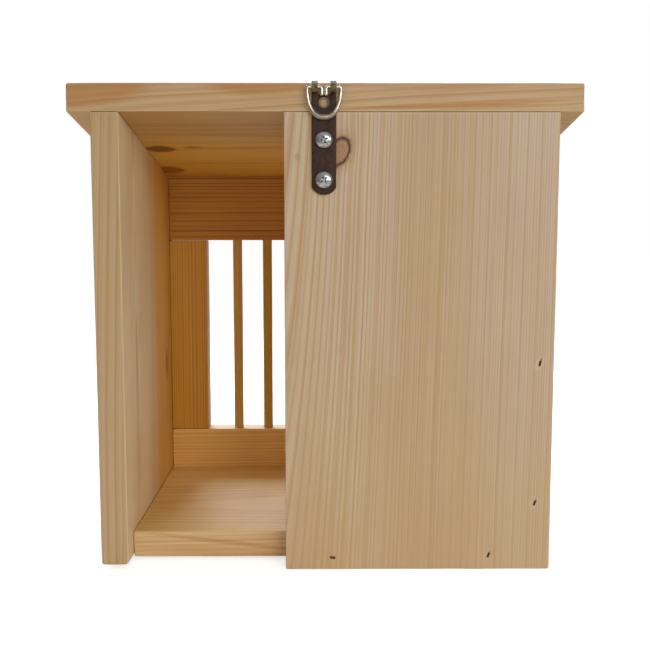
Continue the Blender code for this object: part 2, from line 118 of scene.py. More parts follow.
class Graph:
    """A new material's node tree, with one short call for each kind of node."""

    def __init__(self, name, specular=0.5):
        self.material = bpy.data.materials.new(name)
        self.material.use_nodes = True
        self.tree = self.material.node_tree
        self.shader = next(n for n in self.tree.nodes if n.type == "BSDF_PRINCIPLED")
        self.shader.inputs["Specular IOR Level"].default_value = specular

    def feed(self, socket, value):
        if isinstance(value, Value):
            self.tree.links.new(value.socket, socket)
        else:
            socket.default_value = value

    def node(self, kind, *inputs, **settings):
        made = self.tree.nodes.new("ShaderNode" + kind)
        for name, value in settings.items():
            setattr(made, name, value)
        for socket, value in zip(made.inputs, inputs):
            if value is not None:
                self.feed(socket, value)
        return made

    def math(self, operation, *inputs):
        return Value(self, self.node("Math", *inputs, operation=operation).outputs[0])

    def absolute(self, value):
        return self.math("ABSOLUTE", value)

    def lowest(self, a, b):
        return self.math("MINIMUM", a, b)

    def highest(self, a, b):
        return self.math("MAXIMUM", a, b)

    def root(self, value):
        return self.math("SQRT", value)

    def bell(self, value):
        """1 where the value is 0, falling off smoothly to both sides."""
        return self.math("EXPONENT", value * value * -1.0)

    def fade(self, value, start, end):
        """0 before start, 1 after end, and smooth between; start may be the larger."""
        made = self.node("MapRange", value, start, end, interpolation_type="SMOOTHSTEP")
        return Value(self, made.outputs[0])

    def point(self, x, y, z):
        return Value(self, self.node("CombineXYZ", x, y, z).outputs[0])

    def split(self, value):
        outputs = self.node("SeparateXYZ", value).outputs
        return [Value(self, output) for output in outputs]

    def place(self):
        """Where a point is in the object's own frame, in millimetres."""
        coordinates = self.node("TexCoord").outputs["Object"]
        made = self.node("VectorMath", Value(self, coordinates), operation="SCALE")
        made.inputs["Scale"].default_value = 1 / MM
        return self.split(Value(self, made.outputs[0]))

    def facing(self):
        """The surface's direction in the object's own frame, as three numbers."""
        return self.split(Value(self, self.node("TexCoord").outputs["Normal"]))

    def noise(self, point, detail=2.0, rough=0.5):
        made = self.node("TexNoise", point)
        made.inputs["Scale"].default_value = 1.0
        made.inputs["Detail"].default_value = detail
        made.inputs["Roughness"].default_value = rough
        return Value(self, made.outputs[0])

    def line_noise(self, value, detail=1.0):
        """Smooth noise along one number."""
        made = self.node("TexNoise", noise_dimensions="1D")
        self.feed(made.inputs["W"], value)
        made.inputs["Scale"].default_value = 1.0
        made.inputs["Detail"].default_value = detail
        return Value(self, made.outputs[0])

    def dice(self, value):
        """A random number for each value."""
        made = self.node("TexWhiteNoise", noise_dimensions="1D")
        self.feed(made.inputs["W"], value)
        return Value(self, made.outputs[0])

    def mix(self, factor, a, b, blend="MIX"):
        made = self.node("Mix", data_type="RGBA", blend_type=blend, clamp_factor=True)
        for socket, value in zip((made.inputs[0], made.inputs[6], made.inputs[7]), (factor, a, b)):
            self.feed(socket, value)
        return Value(self, made.outputs[2])

    def grey(self, value):
        return self.point(value, value, value)

    def finish(self, colour, roughness, height, depth, metallic=0.0):
        """Feeds the shader. Height goes from 0 to 1 and depth is what 1 stands for, in millimetres."""
        self.feed(self.shader.inputs["Base Color"], colour)
        self.feed(self.shader.inputs["Roughness"], roughness)
        self.shader.inputs["Metallic"].default_value = metallic
        bump = self.node("Bump")
        bump.inputs["Strength"].default_value = 1.0
        bump.inputs["Distance"].default_value = depth * MM
        self.feed(bump.inputs["Height"], height)
        self.tree.links.new(bump.outputs[0], self.shader.inputs["Normal"])
        return self.material


# Wood tones: pale spring wood, its pink and yellow variants, brown summer wood and knots
PALE = tone(216, 188, 150)
PINK = tone(217, 184, 155)
YELLOW = tone(214, 187, 138)
BROWN = tone(186, 134, 78)
STRIPE = tone(198, 147, 86)
KNOT = tone(140, 82, 48)
KNOT_RIM = tone(74, 40, 20)
WORN = tone(226, 202, 166)


def across_and_along(axis, values):
    """Sorts three values into two across the grain and one along it."""
    x, y, z = values
    return (y, z, x) if axis == "X" else (x, y, z)


def knot_field(graph, knot, u, v, w):
    """How far a point is from a knot's heart, where 1 is its rim. The knot names u or v as its across."""
    across = {"u": u, "v": v}[knot.get("across", "u")]
    a = (across - knot["at"][0]) / knot["size"][0]
    b = (w - knot["at"][1]) / knot["size"][1]
    b = b + a * knot.get("lean", 0.0)
    wobble = graph.noise(graph.point(u / 4.0, v / 4.0, w / 5.0), detail=2.0)
    distance = graph.absolute(a) + b * b if knot.get("lens") else graph.root(a * a + b * b)
    if "deep" in knot:
        depth = {"u": v, "v": u}[knot.get("across", "u")]
        reach = graph.fade(graph.absolute(depth - knot["deep"][0]), knot["deep"][1], knot["deep"][1] + 2.0)
        distance = distance + reach * 6.0
    return distance + (wobble - 0.5) * 0.35


def wood(
    name,
    node,
    grain,
    pith,
    spacing=2.4,
    lean=(0.0, 0.0),
    late=0.5,
    late_tone=BROWN,
    wander=2.5,
    seed=0.0,
    shade=(1.0, 1.0, 1.0),
    stripes=0.3,
    bands=0.5,
    band_size=34.0,
    knots=(),
    patches=(),
    tints=(),
    slope=0.0,
):
    """Softwood cut from a log whose pith runs at pith = (u, v) from the board's middle, across the grain.

    Everything is a function of the place in the log, so that the grain runs round the board's edges: the year
    rings are distances from the pith, drawn out along the grain and bent round the knots. Tints multiply
    the colour of the faces on one side. They stand for light that is warmed between boards, and were set by
    measuring, so they belong to this scene's light and aren't the wood's own colour.
    """
    graph = Graph(name, specular=0.42)
    low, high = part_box(node)
    x, y, z = graph.place()
    if slope:
        z = z + (high.y / MM - y) * slope
    middle = (low + high) / 2 / MM
    u, v, w = across_and_along(grain, (x, y, z))
    middle_u, middle_v, middle_w = across_and_along(grain, middle)

    slow = graph.noise(graph.point(u / 60 + seed, v / 60, w / 330), detail=1.5)
    slow_too = graph.noise(graph.point(u / 60, v / 60 + seed, w / 330 + 7.0), detail=1.5)
    small = graph.noise(graph.point(u / 7 + seed, v / 7, w / 110), detail=2.0)
    along = w - middle_w
    du = u - (middle_u + pith[0]) + along * lean[0] + (slow - 0.5) * wander * 2.0 + (small - 0.5) * 0.7
    dv = v - (middle_v + pith[1]) + along * lean[1] + (slow_too - 0.5) * wander * 2.0

    hearts = []
    wobble = graph.noise(graph.point(u / 1.6, v / 1.6, w / 1.6), detail=2.0)
    for knot in knots:
        distance = knot_field(graph, knot, u, v, w)
        hearts.append((knot, distance))
        pull = graph.bell(distance / 1.5) * knot.get("pull", 0.5)
        if knot.get("across", "u") == "u":
            du = du - (u - knot["at"][0]) * pull
        else:
            dv = dv - (v - knot["at"][0]) * pull

    radius = graph.root(du * du + dv * dv)
    ring = radius / spacing + graph.line_noise(radius / 22 + seed) * 2.6
    number = graph.math("FLOOR", ring)
    phase = ring - number
    luck = graph.dice(number + seed * 3.0)
    luck_too = graph.dice(number + seed * 3.0 + 0.5)
    rise = graph.fade(phase, luck_too * 0.3 + 0.15, 0.93)
    fall = graph.fade(phase, 1.0, 0.95)
    cluster = graph.fade(graph.noise(graph.point(radius / 30 + seed, w / 600, 2.0), detail=1.0), 0.36, 0.62)
    summer = rise * rise * fall * (luck * 0.6 + 0.4) * (cluster * 0.5 + 0.5)

    vein = graph.noise(graph.point(u / 3.2 + seed, v / 3.2, w / 300), detail=3.0, rough=0.6)
    vein_too = graph.noise(graph.point(u / 5.5, v / 5.5 + seed, w / 420 + 3.0), detail=2.0)
    fibre = graph.noise(graph.point(u / 0.42, v / 0.42 + seed, w / 16), detail=3.0, rough=0.65)
    broad = graph.noise(graph.point(u / band_size, v / band_size, w / 130 + seed), detail=2.0)
    speck = graph.noise(graph.point(u * 2.1, v * 2.1 + seed, w / 2.5), detail=2.0)

    colour = graph.mix(graph.fade(vein, 0.38, 0.62), PINK, YELLOW)
    colour = graph.mix(graph.fade(vein_too, 0.32, 0.6) * 0.6, colour, PALE)
    colour = graph.mix(graph.fade(broad, 0.42, 0.75) * bands, colour, graph.mix(0.55, PALE, BROWN))
    colour = graph.mix(summer * late, colour, late_tone)
    stripe = graph.fade(graph.line_noise(radius * 0.46 + seed * 5.0, detail=2.5), 0.5, 0.68)
    colour = graph.mix(stripe * stripes, colour, STRIPE)
    pinstripe = graph.line_noise(radius * 1.15 + seed, detail=1.5)
    for patch in patches:
        b = w - patch["at"][1]
        a = (u if patch.get("across", "u") == "u" else v) - patch["at"][0] + b * patch.get("tilt", 0.0)
        reach = graph.root((a / patch["size"][0]) ** 2.0 + (b / patch["size"][1]) ** 2.0)
        reach = reach + (slow_too - 0.5) * 0.6 + (small - 0.5) * 0.25
        sharp = patch.get("soft", 0.35)
        amount = graph.fade(reach, 1.0 + sharp, 1.0 - sharp) * patch["amount"]
        if "within" in patch:
            axis, start, end_of_fade = patch["within"]
            amount = amount * graph.fade((x, y, z)[axis], start, end_of_fade)
        colour = graph.mix(amount, colour, patch.get("tone", BROWN))
    streak = (fibre - 0.5) * 0.2 + (speck - 0.5) * 0.08 + (broad - 0.5) * 0.08
    streak = streak + (pinstripe - 0.5) * 0.26 + 1.0
    colour = graph.mix(1.0, colour, graph.grey(streak), blend="MULTIPLY")

    cracks = 0.0
    for knot, distance in hearts:
        halo = graph.fade(distance, 2.1, 1.0) * knot.get("halo", 0.3)
        colour = graph.mix(halo, colour, BROWN)
        body = graph.fade(distance, 1.05, 0.92)
        growth = graph.math("SINE", distance * 17.0) * 0.25 + 0.5
        inside = graph.mix(growth, knot.get("tone", KNOT), knot.get("dark", KNOT_RIM))
        inside = graph.mix(knot.get("blush", 0.35), inside, knot.get("tone", KNOT))
        colour = graph.mix(body * knot.get("amount", 1.0), colour, inside)
        rim = graph.bell((distance - 1.0) / knot.get("rim_width", 0.12)) * knot.get("rim", 0.8)
        rim = rim * (graph.fade(wobble, 0.3, 0.5) * 0.5 + 0.5)
        colour = graph.mix(rim, colour, KNOT_RIM)
        cracks = rim * 0.7 + cracks

    facing = graph.facing()
    end = graph.fade(graph.absolute(across_and_along(grain, facing)[2]), 0.55, 0.9)
    pores = graph.noise(graph.point(u / 0.35, v / 0.35, w / 0.8 + seed), detail=3.0, rough=0.7)
    end_colour = graph.mix(summer * 0.8 + pores * 0.25, tone(196, 158, 108), tone(140, 94, 52))
    colour = graph.mix(end * 0.85, colour, end_colour)

    half = (high - low) / 2 / MM
    from_middle = [graph.absolute(p - m) for p, m in zip((x, y, z), middle)]
    inside = [h - d for h, d in zip(half, from_middle)]
    if slope:
        z_half = half[2] - (high.y - low.y) / MM * slope / 2
        inside[2] = z_half - graph.absolute(z - (high.z / MM - z_half))
    edge = graph.lowest(
        graph.highest(inside[0], inside[1]),
        graph.lowest(graph.highest(inside[1], inside[2]), graph.highest(inside[0], inside[2])),
    )
    # Paler eased edges: partly wear, partly a painted highlight along the edges.
    worn = graph.fade(edge + (small - 0.5) * 1.2, 1.3, 0.2)
    colour = graph.mix(worn * 0.3, colour, WORN)
    colour = graph.mix(1.0, colour, (*shade, 1.0), blend="MULTIPLY")
    # Tints: painted light and shade on the faces that look one way, some fading along an axis.
    for tint in tints:
        axis, sign = tint["face"]
        amount = graph.fade(facing[axis] * sign, *tint.get("soft", (0.4, 0.8)))
        if "along" in tint:
            axis, start, end_of_fade = tint["along"]
            amount = amount * graph.fade((x, y, z)[axis], start, end_of_fade)
        colour = graph.mix(amount, colour, (*tint["colour"], 1.0), blend="MULTIPLY")

    roughness = 0.5 + fibre * 0.16 - summer * 0.08 + end * 0.15 - worn * 0.05
    height = fibre * 0.5 + summer * 0.35 + pores * end * 0.6 - cracks
    return graph.finish(colour, roughness, height, 0.035)


def brad_steel():
    """Bare nail ends gone dark brown in their holes, with a little rust."""
    graph = Graph("brad_steel_end", specular=0.3)
    x, y, z = graph.place()
    grain = graph.noise(graph.point(x / 0.4, y / 0.4, z / 0.4), detail=3.0)
    colour = graph.mix(graph.fade(grain, 0.4, 0.65), tone(92, 60, 30), tone(122, 78, 38))
    return graph.finish(colour, grain * 0.3 + 0.5, grain, 0.03, metallic=0.15)


def antique_strap():
    """Dark brown lacquered steel, faintly mottled, worn to brass where its tabs bend over the wire."""
    graph = Graph("antique_strap_coat", specular=0.3)
    x, y, z = graph.place()
    mottle = graph.noise(graph.point(x / 3.2, y / 3.2, z / 4.0), detail=3.0, rough=0.6)
    fine = graph.noise(graph.point(x / 0.35, y / 0.35, z / 0.5), detail=3.0, rough=0.6)
    colour = graph.mix(graph.fade(mottle, 0.35, 0.68), tone(42, 23, 12), tone(66, 39, 22))
    colour = graph.mix(graph.fade(fine, 0.5, 0.75) * 0.35, colour, tone(84, 60, 42))
    bend = graph.fade(y, STRAP_FRONT_Y / MM + 0.6, STRAP_FRONT_Y / MM + 2.0)
    brass = bend * graph.fade(mottle + fine * 0.3, 0.42, 0.68)
    colour = graph.mix(brass * 0.85, colour, tone(126, 112, 66))
    # Painted highlight: lighter grey on the tops of the knuckles.
    crown = graph.fade(z, HINGE.z / MM + 0.9, HINGE.z / MM + 1.7)
    colour = graph.mix(crown * graph.fade(fine, 0.25, 0.5) * 0.9, colour, tone(168, 163, 154))
    a = x - HANGER_X / MM
    c = z - OPEN_HOLE_Z / MM
    from_hole = graph.root(a * a + c * c)
    sink = graph.fade(from_hole, OPEN_HOLE_SINK_RADIUS / MM + 0.05, OPEN_HOLE_SINK_RADIUS / MM - 0.25)
    colour = graph.mix(sink * (mottle * 0.6 + 0.35), colour, tone(176, 162, 138))
    edge = Value(graph, graph.node("NewGeometry").outputs["Pointiness"])
    worn = graph.fade(edge + (mottle - 0.5) * 0.05, 0.53, 0.6)
    colour = graph.mix(worn * 0.4, colour, tone(110, 88, 66))
    roughness = mottle * 0.2 + 0.3 + fine * 0.12
    return graph.finish(colour, roughness, mottle * 0.6 + fine * 0.4, 0.04, metallic=0.3)


def nickel_wire():
    """Warm nickel plate with fine scratches round the wire, darker and browner towards the bottom: painted
    shade and a painted reflection of the brown wood and strap.
    """
    graph = Graph("nickel_wire_plate")
    x, y, z = graph.place()
    cloud = graph.noise(graph.point(x / 3.0, y / 3.0, z / 3.0), detail=3.0)
    scratch = graph.noise(graph.point(x / 0.9, y / 0.12, z / 0.9), detail=3.0, rough=0.7)
    colour = graph.mix(graph.fade(cloud, 0.35, 0.65), tone(226, 220, 204), tone(204, 195, 174))
    colour = graph.mix(graph.fade(scratch, 0.58, 0.75) * 0.3, colour, tone(140, 128, 108))
    # Painted shade and a painted reflection of the brown wood and strap, growing towards the ring's bottom.
    low = graph.fade(z, HINGE.z / MM - 12.5, HINGE.z / MM - 18.0)
    colour = graph.mix(low * (cloud * 0.5 + 0.45), colour, tone(128, 112, 90))
    return graph.finish(colour, cloud * 0.12 + scratch * 0.08 + 0.24, scratch, 0.003, metallic=1.0)


def zinc_screw(name, middle):
    """Bright zinc, turned marks round the head, painted shade in the recess and a painted dark reflection
    round the rim.
    """
    graph = Graph(name)
    x, y, z = graph.place()
    a = x - middle.x / MM
    c = z - middle.z / MM
    radius = graph.root(a * a + c * c)
    turned = graph.line_noise(radius * 3.2, detail=2.0)
    cloud = graph.noise(graph.point(x / 1.6, y / 1.6, z / 1.6), detail=3.0)
    colour = graph.mix(graph.fade(cloud, 0.35, 0.7), tone(206, 207, 210), tone(160, 156, 150))
    # Painted dark reflection round the rim of the head.
    colour = graph.mix(graph.fade(radius, 4.2, 5.5) * 0.5, colour, tone(104, 96, 88))
    # Painted shade in the recess.
    deep = graph.fade(y, middle.y / MM + 2.75, middle.y / MM + 1.4)
    colour = graph.mix(deep * graph.fade(radius, 3.4, 2.7) * 0.7, colour, tone(56, 50, 44))
    roughness = turned * 0.08 + cloud * 0.1 + 0.19
    return graph.finish(colour, roughness, turned * 0.6 + cloud * 0.4, 0.012, metallic=1.0)


def studio_floor_material():
    """Pale and plain, and further out as white as the sky seen by the camera, so that no horizon shows."""
    graph = Graph("studio_floor", specular=0.1)
    x, y, z = graph.place()
    dust = graph.noise(graph.point(x / 90, y / 90, z), detail=2.0)
    far = graph.fade(graph.root(x * x + y * y), 500.0, 1500.0)
    colour = graph.mix(dust, tone(246, 246, 245), tone(250, 250, 249))
    colour = graph.mix(far, colour, (0.0, 0.0, 0.0, 1.0))
    seen = Value(graph, graph.node("LightPath").outputs["Is Camera Ray"])
    glow = graph.mix(seen, (0.06, 0.06, 0.06, 1.0), (0.62, 0.64, 0.66, 1.0))
    glow = graph.mix(far * seen, glow, (1.0, 1.0, 1.0, 1.0))
    graph.feed(graph.shader.inputs["Emission Color"], glow)
    graph.shader.inputs["Emission Strength"].default_value = 1.0
    return graph.finish(colour, 0.7, dust, 0.001)


# ---------------------------------------------------------------- geometry


def show(name, mesh):
    """A new object in the scene for a mesh."""
    made = bpy.data.objects.new(name, mesh)
    bpy.context.scene.collection.objects.link(made)
    return made


def dress(made, material, body="house", stands_for=()):
    """Gives a piece its one material and its body, and hides the CAD nodes it stands for."""
    made.data.materials.clear()
    made.data.materials.append(material)
    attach(made, body)
    if stands_for:
        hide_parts(*stands_for)


def repaint(node, material):
    """A new material on a CAD node, through its object's material slots."""
    made = NODES[node]
    if not made.material_slots:
        made.data.materials.append(None)
    for slot in made.material_slots:
        slot.link = "OBJECT"
        slot.material = material


def mesh_from(name, form):
    """A mesh made of a bmesh, which is freed."""
    mesh = bpy.data.meshes.new(name)
    form.to_mesh(mesh)
    form.free()
    return mesh


def box_mesh(low, high, cell):
    """A closed box cut into cells, as a bmesh."""
    form = bmesh.new()
    bmesh.ops.create_cube(form, size=1.0)
    size = high - low
    middle = (low + high) / 2
    for vertex in form.verts:
        vertex.co = Vector([m + v * s for m, v, s in zip(middle, vertex.co, size)])
    for axis in range(3):
        cuts = int(size[axis] / cell)
        along = [e for e in form.edges if abs(e.verts[0].co[axis] - e.verts[1].co[axis]) > size[axis] / 2]
        if cuts:
            bmesh.ops.subdivide_edges(form, edges=along, cuts=cuts, use_grid_fill=True)
    return form


def inwards(point, low, high):
    """For each axis, how far a point is in from the nearer face of a box, and which way out is."""
    near = []
    for axis in range(3):
        from_low = point[axis] - low[axis]
        from_high = high[axis] - point[axis]
        near.append((from_low, -1.0) if from_low < from_high else (from_high, 1.0))
    return near


def wear_edges(form, low, high, seed, top_wear, foot_wear):
    """Lets the width of the eased edges vary along them, and rounds the corners more."""
    reach = EASE * 1.08
    for vertex in form.verts:
        near = inwards(vertex.co, low, high)
        close = [axis for axis in range(3) if near[axis][0] < reach]
        if len(close) < 2:
            continue
        place = vertex.co * 1000.0 + Vector((seed * 13.7, seed * 5.1, 0.0))
        grow = 1.15 + 0.55 * noise.noise(place / 19.0) + 0.3 * noise.noise(place / 4.5)
        if len(close) == 3:
            grow *= 1.25
        if 2 in close:
            grow *= foot_wear if near[2][1] < 0 else top_wear
        grow = max(0.15, min(2.6, grow))
        for axis in close:
            distance, outwards = near[axis]
            vertex.co[axis] -= outwards * distance * (grow - 1.0)


def slot_cutters(low, high):
    """Cutters for the nails that enter this board, in one bmesh, which is empty where there are none."""
    cutters = bmesh.new()
    for name in NODES:
        if "brad" not in name:
            continue
        brad_low, brad_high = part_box(name)
        apart = [max(low[i] - brad_high[i], brad_low[i] - high[i]) for i in range(3)]
        if max(apart) > NAIL_ROOM:
            continue
        one = bmesh.new()
        one.from_mesh(NODES[name].data)
        bmesh.ops.remove_doubles(one, verts=one.verts, dist=WELD)
        out = brad_outwards(name)
        top = max(vertex.co.dot(out) for vertex in one.verts)
        bmesh.ops.recalc_face_normals(one, faces=one.faces)
        normals = {vertex: vertex.normal.copy() for vertex in one.verts}
        for vertex in one.verts:
            at_top = vertex.co.dot(out) > top - 0.00005
            vertex.co += normals[vertex] * NAIL_HOLE_SPREAD
            if at_top:
                vertex.co += out * NAIL_HOLE_RISE
        add_form(cutters, one)
    return cutters


def brad_outwards(name):
    """The direction that a nail's head faces."""
    if name.startswith("panel"):
        return Vector((0.0, 1.0, 0.0))
    if name.startswith("roof"):
        return Vector((0.0, -math.sin(PITCH), math.cos(PITCH)))
    return Vector((1.0 if "_right" in name else -1.0, 0.0, 0.0))


def add_form(base, other):
    """Copies one bmesh's closed shape into another, and frees it."""
    mesh = mesh_from("part", other)
    base.from_mesh(mesh)
    bpy.data.meshes.remove(mesh)


def rod_form(place, radius, half_length):
    form = bmesh.new()
    depth = 2 * half_length
    bmesh.ops.create_cone(form, cap_ends=True, segments=32, radius1=radius, radius2=radius, depth=depth)
    bmesh.ops.transform(form, matrix=place, verts=form.verts)
    return form


def hole_cutters(node, low, high):
    """Everything that is let into a board: nails, dowels and screws."""
    cutters = slot_cutters(low, high)
    if node in ("front_top_rail", "front_bottom_rail"):
        for number in range(1, 8):
            dowel_low, dowel_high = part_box(f"window_dowel_{number}")
            middle = (dowel_low + dowel_high) / 2
            end = dowel_high.z if node == "front_top_rail" else dowel_low.z
            place = Matrix.Translation((middle.x, middle.y, end))
            inside = 1 if node == "front_top_rail" else -1
            place = place @ Matrix.Translation((0, 0, inside * (HOLE_ROOM - DOWEL_HOLE_HALF_DEPTH)))
            radius = (dowel_high.x - dowel_low.x) / 2 + 0.0001
            add_form(cutters, rod_form(place, radius, DOWEL_HOLE_HALF_DEPTH))
    if node == "back_panel":
        for z in SCREW_HEIGHTS.values():
            place = Matrix.Translation((HANGER_X, BACK_Y, z)) @ Matrix.Rotation(math.pi / 2, 4, "X")
            add_form(cutters, rod_form(place, SCREW_RADIUS + HOLE_ROOM, SCREW_LENGTH - STRAP_THICKNESS))
    return cutters


def worn_board(node, seed, top_wear=1.0, foot_wear=1.0, slope=0.0, top_slope=0.0):
    """A board with its CAD node's size and slopes, edges worn to a varying width, and real nail holes.

    With slope the whole board falls to the front, and with top_slope only its top does.
    """
    low, high = (corner.copy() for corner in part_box(node))
    depth = high.y - low.y
    low.z += depth * slope
    if top_slope:
        high.z += JOINT_CLOSING
    form = box_mesh(low, high, BOARD_CELL)
    rims = []
    for edge in form.edges:
        middle = (edge.verts[0].co + edge.verts[1].co) / 2
        if sum(1 for distance, _ in inwards(middle, low, high) if distance < 0.00001) >= 2:
            rims.append(edge)
    bmesh.ops.bevel(form, geom=rims, offset=EASE, segments=3, profile=0.5, affect="EDGES")
    wear_edges(form, low, high, seed, top_wear, foot_wear)
    for vertex in form.verts:
        fall = slope + top_slope * (vertex.co.z - low.z) / (high.z - low.z)
        vertex.co.z -= (high.y - vertex.co.y) * fall
    made = show(node + "_timber", mesh_from(node + "_timber", form))
    cutters = hole_cutters(node, *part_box(node))
    if cutters.verts:
        made = combine(made, show("cutters", mesh_from("cutters", cutters)), "DIFFERENCE")
    shade(made, 50.0)
    weigh = made.modifiers.new("even_shading", "WEIGHTED_NORMAL")
    weigh.weight = 100
    weigh.keep_sharp = True
    return made


def mesh_of(made):
    """Replaces a curve object or its modifiers by the evaluated mesh, welded, under the same name."""
    bpy.context.view_layer.update()
    name = made.name
    evaluated = made.evaluated_get(bpy.context.evaluated_depsgraph_get())
    mesh = bpy.data.meshes.new_from_object(evaluated)
    mesh.transform(made.matrix_world)
    bpy.data.objects.remove(made)
    form = bmesh.new()
    form.from_mesh(mesh)
    bmesh.ops.remove_doubles(form, verts=form.verts, dist=0.000004)
    form.to_mesh(mesh)
    form.free()
    for attribute in [a for a in mesh.attributes if a.name == "custom_normal"]:
        mesh.attributes.remove(attribute)
    return show(name, mesh)


def flat_shape(name, outlines, thickness, rounding, place):
    """A plate with rounded edges: closed outlines, the first one outside and the others its holes."""
    curve = bpy.data.curves.new(name, "CURVE")
    curve.dimensions = "2D"
    curve.fill_mode = "BOTH"
    curve.extrude = thickness / 2 - rounding
    curve.bevel_depth = rounding
    curve.bevel_resolution = 2
    curve.offset = -rounding
    for points in outlines:
        spline = curve.splines.new("POLY")
        spline.points.add(len(points) - 1)
        for spot, (x, y) in zip(spline.points, points):
            spot.co = (x, y, 0.0, 1.0)
        spline.use_cyclic_u = True
    made = show(name, curve)
    made.matrix_world = place
    return mesh_of(made)


def hole_outline(centre_y, radius, count=48):
    """A circle on the strap's middle line, run backwards, as holes in a curve are."""
    points = []
    for step in range(count):
        angle = -2 * math.pi * step / count
        points.append((radius * math.cos(angle), centre_y + radius * math.sin(angle)))
    return points


def turned(name, profile, place, steps=64):
    """A turned solid from (radius, height) points, top of the axis first."""
    mesh = bpy.data.meshes.new(name)
    mesh.from_pydata([(r, 0.0, h) for r, h in profile], [(i, i + 1) for i in range(len(profile) - 1)], [])
    made = show(name, mesh)
    made.matrix_world = place
    turn = made.modifiers.new("turned", "SCREW")
    turn.steps = steps
    turn.render_steps = steps
    turn.use_merge_vertices = True
    turn.merge_threshold = WELD
    return mesh_of(made)


def combine(base, cutter, operation):
    """Joins or cuts one mesh with another and removes the second."""
    modifier = base.modifiers.new("combine", "BOOLEAN")
    modifier.operation = operation
    modifier.solver = "EXACT"
    modifier.object = cutter
    made = mesh_of(base)
    bpy.data.objects.remove(cutter)
    return made


def shade(made, angle=35.0):
    made.data.shade_smooth()
    made.data.set_sharp_from_angle(angle=math.radians(angle))
    return made


def facing_back(x, y, z):
    """A place whose own Z points out of the back of the house, along +Y."""
    return Matrix.Translation((x, y, z)) @ Matrix.Rotation(-math.pi / 2, 4, "X")


SLOT_WIDTH = 0.0080
SLOT_DEPTH = 0.0045
STRAP_END_RISE = 0.0049
KNUCKLE_WRAP = math.radians(255.0)
KNUCKLE_TAIL = 0.0032
OPEN_HOLE_Z = 0.3089
OPEN_HOLE_RADIUS = 0.0023
OPEN_HOLE_SINK_RADIUS = 0.0036
SCREW_HEIGHTS = {"hanger_screw_upper": 0.2855, "hanger_screw_lower": 0.2601}
SCREW_TURNS = {"hanger_screw_upper": math.radians(18.0), "hanger_screw_lower": math.radians(38.0)}
SCREW_RADIUS = 0.0019
SCREW_HEAD_RADIUS = 0.0056
SCREW_HEAD_HEIGHT = 0.0032
SCREW_LENGTH = 0.0155
RECESS_SIZE = (0.0066, 0.0014, 0.0022)
WIRE_RADIUS = 0.0012
RING_HALF_WIDTH = 0.0108
RING_DROP = 0.0190
RING_SWELL = 0.65
RING_SQUARENESS = 2.3
RING_SHOULDER = 0.0016
STUB_HALF_SPACING = 0.0014
STUB_BEND = 0.0017
STUB_SWELL = 0.12
STUB_DROP = 0.0055
METAL_ROUNDING = 0.00022


def strap_outline():
    half = (STRAP_HIGH.x - STRAP_LOW.x) / 2
    slot = SLOT_WIDTH / 2
    tab_top = HINGE.z - 0.0004
    slot_bottom = HINGE.z - SLOT_DEPTH
    radius = (half**2 + STRAP_END_RISE**2) / (2 * STRAP_END_RISE)
    reach = math.asin(half / radius)
    steps = 40
    end = []
    for step in range(steps + 1):
        angle = -reach + 2 * reach * step / steps
        end.append((radius * math.sin(angle), STRAP_LOW.z + radius - radius * math.cos(angle)))
    corner = 0.0009
    fillet = []
    for side in (1, -1):
        for step in range(7):
            angle = math.pi / 2 * step / 6
            x = slot - corner + corner * math.cos(angle)
            z = slot_bottom + corner - corner * math.sin(angle)
            fillet.append((side * x, z))
    right = fillet[:7]
    left = list(reversed(fillet[7:]))
    return end + [(half, tab_top), (slot, tab_top)] + right + left + [(-slot, tab_top), (-half, tab_top)]


def knuckle_outline():
    """One curled tab seen along the hinge, a closed strip that runs up, over the wire and down its front."""
    outer = KNUCKLE_RADIUS - KNUCKLE_TRIM
    inner = KNUCKLE_RADIUS - STRAP_THICKNESS + KNUCKLE_TRIM
    steps = 48
    angles = [math.pi - KNUCKLE_WRAP * step / steps for step in range(steps + 1)]
    outside = [(outer * math.cos(a), outer * math.sin(a)) for a in angles]
    inside = [(inner * math.cos(a), inner * math.sin(a)) for a in reversed(angles)]
    return outside + inside + [(-inner, -KNUCKLE_TAIL), (-outer, -KNUCKLE_TAIL)]


def make_strap():
    """A plate with rounded edges and three holes, whose two tabs curl over the ring's wire."""
    upright = Matrix.Rotation(math.pi / 2, 4, "X")
    middle_y = (STRAP_BACK_Y + STRAP_FRONT_Y) / 2
    place = Matrix.Translation((HANGER_X, middle_y, 0.0)) @ upright
    holes = [hole_outline(z, SCREW_RADIUS + 0.0005) for z in SCREW_HEIGHTS.values()]
    outlines = [strap_outline()] + holes
    strap = flat_shape("hanger_strap_bent", outlines, STRAP_THICKNESS, METAL_ROUNDING, place)
    tab = ((STRAP_HIGH.x - STRAP_LOW.x) - SLOT_WIDTH) / 2
    along_x = Matrix(((0, 0, 1), (1, 0, 0), (0, 1, 0))).to_4x4()
    for sign in (1, -1):
        x = HANGER_X + sign * (SLOT_WIDTH + tab) / 2
        place = Matrix.Translation((x, HINGE.y, HINGE.z)) @ along_x
        width = tab - KNUCKLE_TRIM
        knuckle = flat_shape(f"knuckle_{sign}", [knuckle_outline()], width, METAL_ROUNDING, place)
        strap = combine(strap, knuckle, "UNION")
    slope = (OPEN_HOLE_SINK_RADIUS - OPEN_HOLE_RADIUS) / STRAP_THICKNESS
    wide = OPEN_HOLE_SINK_RADIUS + slope * 0.0004
    profile = [
        (0.0, 0.0004),
        (wide, 0.0004),
        (OPEN_HOLE_SINK_RADIUS - 0.0001, -0.0002),
        (OPEN_HOLE_RADIUS, -STRAP_THICKNESS + 0.0004),
        (OPEN_HOLE_RADIUS, -0.004),
        (0.0, -0.004),
    ]
    sink = turned("open_hole", profile, facing_back(HANGER_X, STRAP_FRONT_Y, OPEN_HOLE_Z))
    return shade(combine(strap, sink, "DIFFERENCE"))


